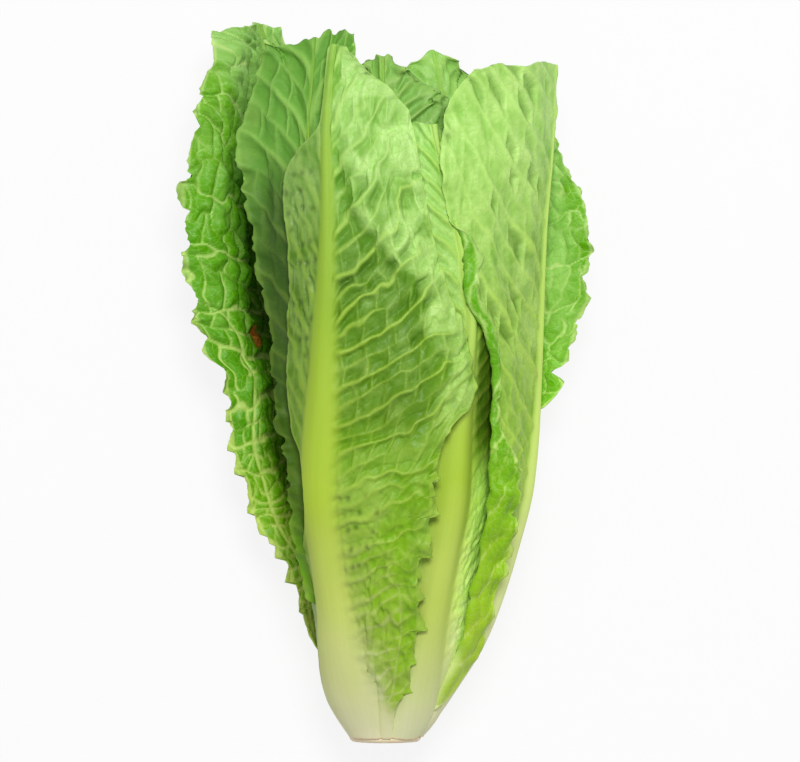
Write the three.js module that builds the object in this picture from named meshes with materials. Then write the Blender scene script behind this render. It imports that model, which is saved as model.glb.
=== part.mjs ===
// A romaine lettuce head, cut at the butt and lying on its back leaves.
// Millimetres. y runs from the cut butt to the leaf tips, +Z is up, and the head lies on z = 0.
// Each leaf is a closed shell laid round one shared outline of the head, so that the leaves nest.
import * as THREE from "three";

const DEGREE = Math.PI / 180;

// A smooth curve through [y, value] knots, held level past both ends.
function profile(...knots) {
  const last = knots.length - 1;
  const slopes = knots.map((_, i) => {
    const [y0, value0] = knots[Math.max(i - 1, 0)];
    const [y1, value1] = knots[Math.min(i + 1, last)];
    return (value1 - value0) / (y1 - y0);
  });
  return (y) => {
    if (y <= knots[0][0]) return knots[0][1];
    if (y >= knots[last][0]) return knots[last][1];
    const i = knots.findIndex((knot) => knot[0] > y) - 1;
    const span = knots[i + 1][0] - knots[i][0];
    const t = (y - knots[i][0]) / span;
    const ease = t * t * (3 - 2 * t);
    const leave = slopes[i] * span * t * (1 - t) ** 2;
    const arrive = slopes[i + 1] * span * t * t * (t - 1);
    return knots[i][1] * (1 - ease) + knots[i + 1][1] * ease + leave + arrive;
  };
}

const level = (value) => () => value;

// ---- driving dimensions of the head ----

const BLADE = 1.2; // thickness of a leaf blade above its base
const BASE_THICKNESS = 3.2; // thickness of an outer leaf where it leaves the stem
const INNER_BASE_THICKNESS = 2; // the same for an inner leaf
const JOINT_GAP = 0.35; // clearance between pieces that touch
const RIB_PROUD = 3.5; // height of an outer midrib, and how far its blade lies inside the outline

// The outline's half sizes across, upwards and downwards from its centre line, which CENTRE_X and CENTRE_Z place.
const HALF_WIDTH = profile(
  [0, 16], [6, 19.3], [20, 26.5], [36, 33], [55, 38.5], [76, 45], [101, 53],
  [150, 59], [200, 61], [250, 63], [290, 60],
);
const HALF_UP = profile(
  [0, 15], [6, 17], [20, 22.5], [36, 29], [55, 36], [76, 43], [101, 49],
  [150, 54], [200, 55], [250, 53], [290, 48],
);
const HALF_DOWN = profile(
  [0, 15], [6, 16.5], [20, 22], [36, 29], [55, 37], [76, 45], [100, 51.5], [120, 52.6], [225, 52.6], [290, 48],
);
const CENTRE_X = profile([0, 0], [20, 1.7], [36, 4], [55, 6.5], [76, 6.5], [101, 4.5], [150, 2], [200, 1]);
const CENTRE_Z = profile([0, 36], [30, 41], [60, 46], [100, 50], [290, 50]);
const ROUND_ABOVE = 2.1; // 2 is an ellipse, and more is squarer
const ROUND_BELOW = 3;

// The midrib's half width and height.
const RIB_WIDTH = profile(
  [0, 13], [20, 10], [40, 7.5], [105, 7], [130, 5.5], [170, 3.6], [209, 2.2], [270, 1.2],
);
const RIB_HEIGHT = profile(
  [0, 1.2], [8, 2.6], [20, RIB_PROUD], [110, RIB_PROUD], [150, 2.8], [200, 1.7], [270, 0.8],
);
const INNER_RIB_WIDTH = 0.75; // an inner leaf's midrib against an outer one's
const INNER_RIB_HEIGHT = 2.1;

const STEM_RADIUS = profile([0, 11.6], [8, 11.6], [14, 10.8], [26, 10.2], [38, 9], [50, 7], [62, 5], [70, 3]);
const STEM_LENGTH = 71;
const BUTT = { radius: 13.6, depth: 2, chamfer: 1.4 }; // the cut disc under the outermost leaf bases

// ---- places on the head: angle is in degrees, 0 at the top and 90 towards +X ----

function outline(angle, y) {
  const across = Math.abs(Math.sin(angle * DEGREE)) / HALF_WIDTH(y);
  const rise = Math.cos(angle * DEGREE);
  const upright = Math.abs(rise) / (rise > 0 ? HALF_UP(y) : HALF_DOWN(y));
  const power = rise > 0 ? ROUND_ABOVE : ROUND_BELOW;
  return (across ** power + upright ** power) ** (-1 / power);
}

function place(angle, y, radius) {
  return new THREE.Vector3(
    CENTRE_X(y) + radius * Math.sin(angle * DEGREE),
    y,
    CENTRE_Z(y) + radius * Math.cos(angle * DEGREE),
  );
}

// ---- one leaf ----
// foot, tip        y of its two ends
// rib              angle of its midrib
// left, right      its two halves, the left one at the smaller angles: see half
// shell, inset     its blade lies at outline * shell - inset
// thickness, ribWidth, ribHeight

// margin is the angle of the edge, sink how far the half dips towards the head's centre line, steep how soon
// it does so, and flare how far its edge stands out again.
const half = ({ margin, sink = level(0), steep = 1, flare = level(0) }) => ({ margin, sink, steep, flare });

// The outer and inner skin at y, share of the way from the midrib (0) to the edge (1) of one half.
function skinPoints(leaf, side, share, y) {
  const rib = leaf.rib(y);
  const angle = rib + (side.margin(y) - rib) * share;
  const stem = STEM_RADIUS(y) + 1.5 * JOINT_GAP;
  const bend = side.flare(y) * share ** 3 - side.sink(y) * share ** side.steep;
  const radius = Math.max(outline(angle, y) * leaf.shell(y) - leaf.inset(y) + bend, stem + BLADE);
  const fromRib = Math.min(1, (Math.abs(angle - rib) * DEGREE * radius) / leaf.ribWidth(y));
  const bulge = leaf.ribHeight(y) * Math.cos((fromRib * Math.PI) / 2);
  const outer = place(angle, y, radius + bulge);
  outer.z = Math.max(outer.z, 0);
  return { outer, inner: place(angle, y, Math.max(radius - leaf.thickness(y), stem)) };
}

// Shares at which one half has points at y: closer together over the midrib.
function columnShares(leaf, side, y, bladeColumns) {
  const reach = Math.abs(side.margin(y) - leaf.rib(y)) * DEGREE * outline(leaf.rib(y), y) * leaf.shell(y);
  const ribShare = Math.min(0.55, leaf.ribWidth(y) / reach);
  const shares = [0, 0.55 * ribShare, ribShare];
  for (let i = 1; i <= bladeColumns; i++) shares.push(ribShare + ((1 - ribShare) * i) / bladeColumns);
  return shares;
}

function leafGeometry(leaf, rows, bladeColumns) {
  const outer = [];
  const inner = [];
  for (let row = 0; row <= rows; row++) {
    const along = row / rows - 0.09 * Math.sin((2 * Math.PI * row) / rows); // closer rows at both ends
    const y = leaf.foot + (leaf.tip - leaf.foot) * along;
    const leftShares = columnShares(leaf, leaf.left, y, bladeColumns).slice(1).reverse();
    const rightShares = columnShares(leaf, leaf.right, y, bladeColumns);
    const skin = [
      ...leftShares.map((share) => skinPoints(leaf, leaf.left, share, y)),
      ...rightShares.map((share) => skinPoints(leaf, leaf.right, share, y)),
    ];
    outer.push(skin.map((point) => point.outer));
    inner.push(skin.map((point) => point.inner));
  }
  return shellGeometry(outer, inner);
}

function geometryOf(points, faces) {
  const numbers = points.flatMap((point) => point.toArray());
  return new THREE.BufferGeometry()
    .setAttribute("position", new THREE.Float32BufferAttribute(numbers, 3))
    .setIndex(faces);
}

// Closes two grids of points, one inside the other, into one solid.
function shellGeometry(outer, inner) {
  const rows = outer.length;
  const columns = outer[0].length;
  const inside = rows * columns;
  const at = (row, column) => row * columns + column;
  const faces = [];
  const quad = (a, b, c, d) => faces.push(a, b, c, a, c, d);
  for (let row = 0; row < rows - 1; row++)
    for (let column = 0; column < columns - 1; column++) {
      const [a, b] = [at(row, column), at(row, column + 1)];
      const [c, d] = [at(row + 1, column + 1), at(row + 1, column)];
      quad(a, b, c, d);
      quad(inside + d, inside + c, inside + b, inside + a);
    }
  const rim = [];
  for (let column = 0; column < columns - 1; column++) rim.push(at(0, column));
  for (let row = 0; row < rows - 1; row++) rim.push(at(row, columns - 1));
  for (let column = columns - 1; column > 0; column--) rim.push(at(rows - 1, column));
  for (let row = rows - 1; row > 0; row--) rim.push(at(row, 0));
  rim.forEach((from, i) => {
    const to = rim[(i + 1) % rim.length];
    quad(to, from, inside + from, inside + to);
  });
  return geometryOf([...outer.flat(), ...inner.flat()], faces);
}

// ---- the outer leaves ----

const outerLeaf = (leaf) => ({
  foot: BUTT.depth + JOINT_GAP,
  shell: level(1),
  inset: profile([0, 2.4], [20, 2.2], [60, RIB_PROUD], [290, RIB_PROUD]),
  thickness: profile([0, BASE_THICKNESS], [20, 2.6], [45, 1.8], [80, BLADE]),
  ribWidth: RIB_WIDTH,
  ribHeight: RIB_HEIGHT,
  ...leaf,
});

const OUTER_LEAVES = {
  outer_leaf_front_left: outerLeaf({
    tip: 267,
    rib: profile([0, -50], [55, -50], [76, -43], [101, -35], [132, -28], [170, -24], [234, -22], [268, -16]),
    left: half({
      margin: profile(
        [0, -96], [36, -93], [60, -78], [90, -56], [126, -46],
        [190, -42], [214, -43], [226, -36], [233, -27], [268, -19],
      ),
    }),
    right: half({
      margin: profile(
        [0, -4], [20, 12], [40, 22], [84, 23], [105, 29], [132, 39], [164, 33], [190, 28], [228, 16], [268, -13],
      ),
      flare: profile([0, 0], [12, 1.2], [30, 2.6], [60, 1.8], [80, 0]),
    }),
  }),

  outer_leaf_front_right: outerLeaf({
    tip: 245,
    inset: profile([0, 2.4], [20, 3.6], [45, 6.2], [80, 9], [250, 9]),
    rib: profile([0, 37], [20, 35], [45, 31], [93, 31], [124, 34], [163, 33], [190, 29], [216, 21], [245, 16]),
    left: half({
      margin: profile([0, 1], [20, 16], [45, 20], [80, 12], [110, 0], [180, -8], [225, -2], [245, 10]),
    }),
    right: half({
      margin: profile([0, 60], [30, 58], [60, 62], [100, 72], [180, 70], [225, 42], [245, 22]),
      sink: profile([0, 0], [40, 1], [80, 4], [250, 5]),
      steep: 0.5,
    }),
  }),

  outer_leaf_right: outerLeaf({
    tip: 261,
    rib: profile([0, 90], [40, 86], [130, 86], [160, 81], [200, 80], [262, 81]),
    left: half({
      margin: profile(
        [0, 64], [30, 61], [45, 52], [60, 46], [110, 41], [150, 41],
        [175, 35], [215, 23], [240, 25], [252, 32], [262, 48],
      ),
      sink: profile([0, 0], [40, 0], [60, 1.5], [250, 1.5]),
    }),
    right: half({
      margin: profile([0, 117], [45, 119], [65, 117], [85, 126], [110, 140], [180, 142], [225, 120], [262, 96]),
      sink: profile([0, 0], [50, 1.5], [68, 5], [105, 10.5], [250, 11]),
      steep: 0.6,
    }),
  }),

  outer_leaf_back_right: outerLeaf({
    tip: 252,
    rib: profile([0, 150], [60, 150], [252, 148]),
    left: half({
      margin: profile(
        [0, 121], [45, 123], [65, 121], [100, 111], [115, 103],
        [130, 94], [155, 88], [214, 85], [236, 90], [252, 120],
      ),
      sink: profile([0, 0], [60, 2], [110, 8], [250, 10]),
      flare: profile([0, 0], [70, 1], [100, 5], [130, 13], [155, 23], [187, 28], [205, 27], [225, 19], [252, 8]),
    }),
    right: half({ margin: profile([0, 176], [80, 175], [110, 190], [190, 196], [230, 180], [252, 156]) }),
  }),

  outer_leaf_back_left: outerLeaf({
    tip: 279,
    rib: profile([0, -146], [60, -148], [240, -144], [279, -122]),
    left: half({
      margin: profile([0, -181], [60, -180], [100, -188], [190, -194], [240, -180], [279, -148]),
      sink: profile([0, 0], [60, 0.3], [84, 4], [250, 4]),
    }),
    right: half({
      margin: profile([0, -100], [60, -101], [90, -96], [132, -90], [174, -84], [224, -82], [263, -88], [279, -96]),
      sink: profile([0, 0], [60, 2], [110, 8], [280, 10]),
      flare: profile(
        [0, 0], [45, 0], [59, 5.4], [70, 9], [90, 15], [132, 18],
        [174, 27], [203, 29], [243, 23], [263, 18], [279, 12],
      ),
    }),
  }),
};

// ---- the inner leaves ----
// They stand in rings. Each leaf's left edge tucks under its neighbour's right edge.

const SECOND_RING = {
  foot: 14,
  shell: profile([14, 0.54], [26, 0.66], [40, 0.75], [60, 0.8], [110, 0.84], [260, 0.84]),
};
const THIRD_RING = { foot: 26, shell: profile([26, 0.42], [45, 0.57], [60, 0.62], [110, 0.69], [260, 0.69]) };
const FOURTH_RING = { foot: 38, shell: profile([38, 0.34], [50, 0.41], [60, 0.44], [110, 0.53], [260, 0.53]) };
const FIFTH_RING = { foot: 50, shell: profile([50, 0.25], [60, 0.275], [110, 0.37], [250, 0.37]) };
const HEART_RING = { foot: 66, shell: profile([66, 0.14], [85, 0.19], [110, 0.2], [240, 0.2]) };

// angle is the midrib's at its foot, turn what it turns by the tip, and spread each half's widest angle.
function ringLeaf({ foot, shell }, { angle, turn = 4, tip, spread = 72, tuck = 4 }) {
  const widest = 0.45 * foot + 0.55 * tip;
  const rib = profile([foot, angle], [tip - 60, angle + 0.4 * turn], [tip, angle + turn]);
  const opening = profile([foot, 0.62], [foot + 40, 0.82], [widest, 1], [tip - 28, 0.8], [tip, 0.1]);
  return {
    foot,
    tip,
    rib,
    shell,
    inset: level(0),
    thickness: profile([foot, INNER_BASE_THICKNESS], [foot + 30, 1.6], [foot + 60, BLADE]),
    ribWidth: (y) => RIB_WIDTH(y) * INNER_RIB_WIDTH,
    ribHeight: profile([foot, 0.7], [foot + 16, INNER_RIB_HEIGHT], [120, INNER_RIB_HEIGHT], [200, 1], [270, 0.5]),
    left: half({
      margin: (y) => rib(y) - spread * opening(y),
      sink: profile([foot, 0], [foot + 20, 0.2 * tuck], [95, tuck], [290, tuck]),
    }),
    right: half({ margin: (y) => rib(y) + spread * opening(y) }),
  };
}

const INNER_LEAVES = {
  second_leaf_left: {
    ...ringLeaf(SECOND_RING, { angle: -40, tip: 271 }),
    left: half({
      margin: profile(
        [14, -85], [45, -68], [66, -70], [83, -64], [100, -58],
        [160, -55], [182, -59], [234, -66], [262, -58], [271, -50],
      ),
      flare: profile([40, 0], [66, 1], [83, 2.5], [100, 5], [160, 6], [182, 8], [234, 10.6], [271, 4.4]),
    }),
    right: half({ margin: profile([14, -8], [60, -10], [110, -13], [245, -14], [271, -17]) }),
  },
  second_leaf_back: {
    ...ringLeaf(SECOND_RING, { angle: 190, turn: 2, tip: 266, spread: 45, tuck: 1 }),
    inset: profile([14, 0.9], [50, 1.2], [90, 3.2], [266, 3.2]),
  },
  third_leaf_front: ringLeaf(THIRD_RING, { angle: 8, tip: 262 }),
  third_leaf_left: ringLeaf(THIRD_RING, { angle: -112, tip: 250 }),
  third_leaf_back_right: ringLeaf(THIRD_RING, { angle: 128, turn: -14, tip: 262 }),
  fourth_leaf_front_left: ringLeaf(FOURTH_RING, { angle: -48, tip: 252 }),
  fourth_leaf_right: ringLeaf(FOURTH_RING, { angle: 72, turn: -36, tip: 267 }),
  fourth_leaf_back_left: ringLeaf(FOURTH_RING, { angle: -168, tip: 246 }),
  fifth_leaf_front: ringLeaf(FIFTH_RING, { angle: 30, tip: 246, spread: 70, tuck: 3.5 }),
  fifth_leaf_back_left: ringLeaf(FIFTH_RING, { angle: -92, tip: 236, spread: 70, tuck: 3.5 }),
  fifth_leaf_back_right: ringLeaf(FIFTH_RING, { angle: 149, tip: 240, spread: 70, tuck: 3.5 }),
  heart_leaf_left: ringLeaf(HEART_RING, { angle: -70, tip: 226, spread: 85, tuck: 2 }),
  heart_leaf_right: ringLeaf(HEART_RING, { angle: 110, tip: 218, spread: 85, tuck: 2 }),
};

// ---- the stem: a short cone on the head's centre line, with the wider cut disc at its end ----

function stemGeometry() {
  const sides = 28;
  const rings = [
    [0, BUTT.radius - BUTT.chamfer],
    [0.8, BUTT.radius - 0.3 * BUTT.chamfer],
    [BUTT.depth, BUTT.radius],
    [BUTT.depth + 0.01, STEM_RADIUS(BUTT.depth)],
    ...[14, 26, 38, 50, 62, 69].map((y) => [y, STEM_RADIUS(y)]),
  ];
  const points = [place(0, 0, 0)];
  for (const [y, radius] of rings)
    for (let i = 0; i < sides; i++) points.push(place((360 * i) / sides, y, radius));
  const end = points.push(place(0, STEM_LENGTH, 0)) - 1;
  const at = (ring, i) => 1 + ring * sides + (i % sides);
  const faces = [];
  for (let i = 0; i < sides; i++) {
    faces.push(0, at(0, i + 1), at(0, i));
    for (let ring = 0; ring < rings.length - 1; ring++) {
      faces.push(at(ring, i), at(ring + 1, i + 1), at(ring + 1, i));
      faces.push(at(ring, i), at(ring, i + 1), at(ring + 1, i + 1));
    }
    faces.push(at(rings.length - 1, i), at(rings.length - 1, i + 1), end);
  }
  return geometryOf(points, faces);
}

// ---- materials and assembly ----

const plant = (name, color) => new THREE.MeshStandardMaterial({ name, color, roughness: 0.55, metalness: 0 });
const OUTER_GREEN = plant("outer_leaf_green", 0x8fbd55);
const INNER_GREEN = plant("inner_leaf_green", 0xb4d46e);
const STEM_WHITE = plant("stem_white", 0xdcd6a4);

const head = new THREE.Group();

function add(name, geometry, material) {
  const mesh = new THREE.Mesh(geometry, material);
  mesh.name = name;
  head.add(mesh);
}

add("stem_core", stemGeometry(), STEM_WHITE);
for (const [name, leaf] of Object.entries(OUTER_LEAVES)) add(name, leafGeometry(leaf, 14, 4), OUTER_GREEN);
for (const [name, leaf] of Object.entries(INNER_LEAVES)) add(name, leafGeometry(leaf, 10, 3), INNER_GREEN);

// The origin is on the surface the head lies on, under the middle of its box.
const box = new THREE.Box3().setFromObject(head);
const middle = box.getCenter(new THREE.Vector3());
head.position.set(-middle.x, -middle.y, -box.min.z);

export default head;
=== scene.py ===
import math

import bpy
import numpy as np
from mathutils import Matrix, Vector


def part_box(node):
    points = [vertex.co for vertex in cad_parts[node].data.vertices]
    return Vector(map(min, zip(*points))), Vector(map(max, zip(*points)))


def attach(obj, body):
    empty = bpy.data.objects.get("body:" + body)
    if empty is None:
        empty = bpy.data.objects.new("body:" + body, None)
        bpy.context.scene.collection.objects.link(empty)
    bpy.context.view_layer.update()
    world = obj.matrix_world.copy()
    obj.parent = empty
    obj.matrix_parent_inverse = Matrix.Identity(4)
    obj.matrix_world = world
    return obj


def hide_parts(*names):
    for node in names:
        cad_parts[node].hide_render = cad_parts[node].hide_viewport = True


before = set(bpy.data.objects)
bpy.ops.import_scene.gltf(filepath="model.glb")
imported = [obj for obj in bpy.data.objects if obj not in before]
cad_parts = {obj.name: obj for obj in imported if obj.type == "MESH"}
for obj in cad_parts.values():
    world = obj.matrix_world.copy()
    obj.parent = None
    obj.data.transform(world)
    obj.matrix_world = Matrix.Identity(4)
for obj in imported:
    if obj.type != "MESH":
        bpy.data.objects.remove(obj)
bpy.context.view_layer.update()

DEGREE = math.pi / 180
MM = 0.001
STEM_CORNER = np.array([-13.6, 0.0, 22.4])  # the stem's lowest corner, in head millimetres
SHIFT = np.array(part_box("stem_core")[0]) / MM - STEM_CORNER


# ---- smooth curves and noise ----


def profile(*knots):
    """A smooth curve through (y, value) knots, held level past both ends."""
    at, value = np.array(knots, float).T
    before, after = np.r_[0, 0 : len(at) - 1], np.r_[1 : len(at), len(at) - 1]
    slope = (value[after] - value[before]) / (at[after] - at[before])

    def curve(y):
        y = np.clip(y, at[0], at[-1])
        i = np.clip(np.searchsorted(at, y, side="right") - 1, 0, len(at) - 2)
        span = at[i + 1] - at[i]
        t = (y - at[i]) / span
        ease = t * t * (3 - 2 * t)
        bend = slope[i] * span * t * (1 - t) ** 2 + slope[i + 1] * span * t * t * (t - 1)
        return value[i] * (1 - ease) + value[i + 1] * ease + bend

    return curve


def nowhere(s, t):
    return 0 * s


def level(value):
    return lambda y: np.full_like(np.asarray(y, float), value)


def smooth(low, high, x):
    t = np.clip((x - low) / (high - low), 0, 1)
    return t * t * (3 - 2 * t)


def scatter(i, j, seed):
    """A fixed random number in 0..1 for each pair of whole numbers."""
    n = (i.astype(np.int64) * 374761393 + j.astype(np.int64) * 668265263 + seed * 144269504) & 0xFFFFFFFF
    n = ((n ^ (n >> 13)) * 1274126177) & 0xFFFFFFFF
    n = ((n ^ (n >> 15)) * 2246822519) & 0xFFFFFFFF
    return ((n ^ (n >> 16)) & 0xFFFFFF) / 0xFFFFFF


def noise(x, y, seed):
    """Smooth noise from -1 to 1 with one lump to each unit."""
    x, y = np.broadcast_arrays(np.asarray(x, float), np.asarray(y, float))
    i, j = np.floor(x), np.floor(y)
    u, v = x - i, y - j
    u, v = u * u * u * (u * (6 * u - 15) + 10), v * v * v * (v * (6 * v - 15) + 10)
    low = scatter(i, j, seed) * (1 - u) + scatter(i + 1, j, seed) * u
    high = scatter(i, j + 1, seed) * (1 - u) + scatter(i + 1, j + 1, seed) * u
    return 2 * (low * (1 - v) + high * v) - 1


def rough(x, y, seed, octaves=3):
    return sum(0.5**k * noise(x * 2**k, y * 2**k, seed + 7 * k) for k in range(octaves))


# ---- the head's outline, as in the solids ----

HALF_WIDTH = profile(
    (0, 16), (6, 19.3), (20, 26.5), (36, 33), (55, 38.5), (76, 45), (101, 53), (150, 59), (200, 61),
    (250, 63), (290, 60)
)
HALF_UP = profile(
    (0, 15), (6, 17), (20, 22.5), (36, 29), (55, 36), (76, 43), (101, 49), (150, 54), (200, 55), (250, 53),
    (290, 48)
)
HALF_DOWN = profile(
    (0, 15), (6, 16.5), (20, 22), (36, 29), (55, 37), (76, 45), (100, 51.5), (120, 52.6), (225, 52.6),
    (290, 48)
)
CENTRE_X = profile((0, 0), (20, 1.7), (36, 4), (55, 6.5), (76, 6.5), (101, 4.5), (150, 2), (200, 1))
CENTRE_Z = profile((0, 36), (30, 41), (60, 46), (100, 50), (290, 50))
RIB_WIDTH = profile((0, 13), (20, 10), (40, 7.5), (105, 7), (130, 5.5), (170, 3.6), (209, 2.2), (270, 1.2))
RIB_HEIGHT = profile((0, 1.2), (8, 2.6), (20, 3.5), (110, 3.5), (150, 2.8), (200, 1.7), (270, 0.8))
FOOT_ROUND = profile((2, 2.0), (5, 1.6), (10, 0.7), (16, 0))
STEM_RADIUS = profile((0, 11.6), (8, 11.6), (14, 10.8), (26, 10.2), (38, 9), (50, 7), (62, 5), (70, 3))
JOINT_GAP = 0.35


def outline(angle, y):
    rise = np.cos(angle * DEGREE)
    up = rise > 0
    power = np.where(up, 2.1, 3.0)
    across = np.abs(np.sin(angle * DEGREE)) / HALF_WIDTH(y)
    upright = np.abs(rise) / np.where(up, HALF_UP(y), HALF_DOWN(y))
    return (across**power + upright**power) ** (-1 / power)


def place(angle, y, radius):
    """Points at an angle round the head's middle line and at a radius from it."""
    x = CENTRE_X(y) + radius * np.sin(angle * DEGREE)
    z = CENTRE_Z(y) + radius * np.cos(angle * DEGREE)
    return np.stack([x, y + 0 * angle, z], -1)


# ---- the veins of one half leaf ----


def cell_net(u, v, width, length, seed):
    """Distance in mm to the nearest border between a band's cells, and a random number for each cell."""
    band = np.floor(u)
    v = v + 0.5 * (band % 2) + 0.35 * scatter(band, band, seed + 5)
    step = np.floor(v)
    across = (u - band - 0.5) * width
    seeds = []
    for k in (-2, -1, 0, 1, 2):
        there = step + k
        side = (scatter(band, there, seed) - 0.5) * 0.62 * width
        along = (there + 0.5 + 0.8 * (scatter(band, there, seed + 1) - 0.5) - v) * length
        seeds.append((side - across, along, scatter(band, there, seed + 2)))
    far = [x * x + y * y for x, y, _ in seeds]
    nearest = np.argmin(far, 0)
    pick = lambda items: np.choose(nearest, items)
    x0, y0, tone = pick([s[0] for s in seeds]), pick([s[1] for s in seeds]), pick([s[2] for s in seeds])
    border = np.full(u.shape, 1e3)
    for k, (x, y, _) in enumerate(seeds):
        apart = np.hypot(x - x0, y - y0)
        gap = ((x + x0) / 2 * (x - x0) + (y + y0) / 2 * (y - y0)) / np.maximum(apart, 1e-6)
        border = np.where(nearest == k, border, np.minimum(border, gap))
    return border, tone


def veins(s, t, edge, side, seed):
    """Fields on one half leaf: s along the midrib, t away from it and edge in from the margin, all in mm."""
    foot = s
    for _ in range(5):
        slope = np.tan(side["climb"](foot) * DEGREE)
        foot = s - side["sweep"] * (1 - np.exp(-t / 4)) - t * slope - side["arch"] * t * t / 100
    steps = np.arange(-200.0, 420.0)
    count = np.cumsum(1 / side["spacing"](steps))
    wander = side["wander"] * (0.2 + 0.3 * smooth(22, 3, edge))
    drift = noise(s / 14, t / 14, seed + 11) + 0.6 * noise(s / 5.5, t / 5.5, seed + 12)
    running = np.interp(foot, steps, count) + wander * drift
    number = np.floor(running + 0.5)
    lean = np.cos(np.arctan(slope + side["arch"] * t / 50))
    width = side["spacing"](foot) * lean
    branch = np.minimum(np.abs(running - number) * width, np.abs(edge - side["strand"](s)))
    chance = scatter(number, number * 0, seed)
    ends = 8 + 40 * scatter(number, number * 0 + 1, seed)
    short = (0.15 + 0.6 * chance) * smooth(ends + 10, ends, t)
    strong = np.where(number % 2 == 0, 0.75 + 0.4 * chance, short)
    strong = np.where(np.abs(edge - side["strand"](s)) < 3, 0.9, strong)
    length = side["cell"](s)
    run = t / lean + side["stray"] * noise(s / 7, t / 7, seed + 16)
    border, tone = cell_net(running, run / length, width, length, seed + 3)
    fade = 0.55 + 0.45 * noise(running * 1.3, run / 9, seed + 13)
    crumple = 1 - 2 * np.abs(noise(running * 0.7 + 3, run / 13, seed + 14))
    crumple = crumple + 0.6 * noise(running * 1.3, run / 7, seed + 15)
    return {
        "branch": branch,
        "strong": strong * (1 - 0.4 * smooth(14, 2, edge)),
        "net": np.minimum(border, branch),
        "cross": border,
        "fade": fade,
        "tone": tone,
        "crumple": crumple,
    }


# ---- one leaf ----


def bell(x):
    return np.exp(-x * x)


def line(x):
    """A drawn line that fades just past 1."""
    return smooth(1.35, 0.45, x)


def barbs(*tips):
    """Pointed teeth, each (y of the tip, size, length): square below the tip and sloping away above it."""

    def stand_out(y):
        return sum(size * np.clip(1 - (y - at) / long, 0, 1) ** 1.3 * (y >= at) for at, size, long in tips)

    return stand_out


def margin_shape(side, y, whole, seed):
    """How far lobes and teeth stand out of the margin, and how far its edge does with its barbs as well."""
    lobe_at = y / side["lobe"] + 0.45 * noise(y / 15, 0 * y, seed + 1)
    lobe = (1 - (2 * (lobe_at % 1) - 1) ** 2) * (0.4 + scatter(np.floor(lobe_at), 0 * y, seed + 4))
    tick = y / 3.1 + 0.5 * noise(y / 5, 3 + 0 * y, seed + 2)
    size = 0.1 + 1.2 * scatter(np.floor(tick), 3 + 0 * y, seed + 5) ** 2
    point = (1 - np.abs(2 * (tick % 1) - 1)) ** 1.3 * size
    fine = 0.55 * point + 0.12 * noise(y / 1.3, 5 + 0 * y, seed + 3)
    teeth = side["teeth"](y) * (0.95 * lobe - 0.75) + np.minimum(side["teeth"](y), 1.6) * fine
    return teeth, np.maximum(side["extra"](y) + teeth * smooth(1, 6, whole), -0.22 * whole)


def rounded_top(leaf, side, y, away, share):
    """Places along the leaf, moved so that its upper end is rounded and notched rather than cut straight."""
    crown = leaf["crown"]
    wave = crown["notch"] * rough(away / crown["pitch"], 0 * away, leaf["seed"] + 9, 3)
    wave = wave - side["round"] * np.minimum(share, 1.2) ** 3
    return y + smooth(0.86, 1.0, (y - leaf["foot"]) / (leaf["tip"] - leaf["foot"])) * wave


def laid_out(leaf, side, sign, s, t, share, seed):
    """Points of one half leaf before it curls, laid round the head and kept clear of the stem."""
    angle = leaf["rib"](s) + (side["margin"](s) - leaf["rib"](s)) * share
    near = np.minimum(share, 1)
    bend = side["flare"](s) * near**3 - side["sink"](s) * near ** side["steep"]
    nested = outline(angle, s) * leaf["shell"](s) - leaf["inset"](s)
    nested = nested - FOOT_ROUND(s) * np.sin(angle * DEGREE) ** 2 + bend
    stem = STEM_RADIUS(s) + 1.5 * JOINT_GAP
    swell = side["swell"](s, t) * smooth(0, 9, t)
    loose = smooth(3, 30, t) * smooth(30, 90, s)
    drift = leaf["drift"] * loose * rough(s / 34, sign * t / 22, seed + 21, 2)
    return place(angle, s, np.maximum(nested, stem + 1.0) + swell + drift)


def curled(side, sign, points, s, edge, strip, seed):
    """The same points with each row's steps turned outwards near the margin: its fold, ruffles and bow."""
    step = np.diff(points, axis=1)
    middle = (edge[:, 1:] + edge[:, :-1]) / 2
    row = (s[:, 1:] + s[:, :-1]) / 2
    fold = side["turn"] * DEGREE * smooth(strip + side["hem"], strip - 0.3, middle) * smooth(0.4, 3, strip)
    wavy = rough(row / side["pitch"], middle / 26, seed + 31, 2) * 1.15
    ruffle = side["ruffle"](row) * DEGREE * wavy * smooth(side["depth"], 0, middle)
    bow = side["bow"](row) * DEGREE * smooth(side["bow_reach"], 0, middle)
    turn = fold + ruffle + bow
    out = sign * np.stack([-step[..., 2], 0 * step[..., 1], step[..., 0]], -1)
    flat = step * np.array([1, 0, 1])
    turned = flat * np.cos(turn)[..., None] + out * np.sin(turn)[..., None] + step * np.array([0, 1, 0])
    return np.concatenate([points[:, :1], points[:, :1] + np.cumsum(turned, 1)], 1)


def hold_margin(side, points, s, y, teeth, share):
    """Move a spread leaf sideways, so that its margin lies where its outline is, evened over a few rows."""
    target = side["hold"](s[:, -1:])
    miss = target + np.sign(target) * (teeth + side["extra"](y)) - points[:, -1:, 0]
    kernel = np.ones(9) / 9
    miss = np.convolve(np.pad(miss[:, 0], 4, mode="edge"), kernel, "valid")[:, None]
    points[..., 0] += miss * np.minimum(share, 1) ** 2 * smooth(30, 70, s)


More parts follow.
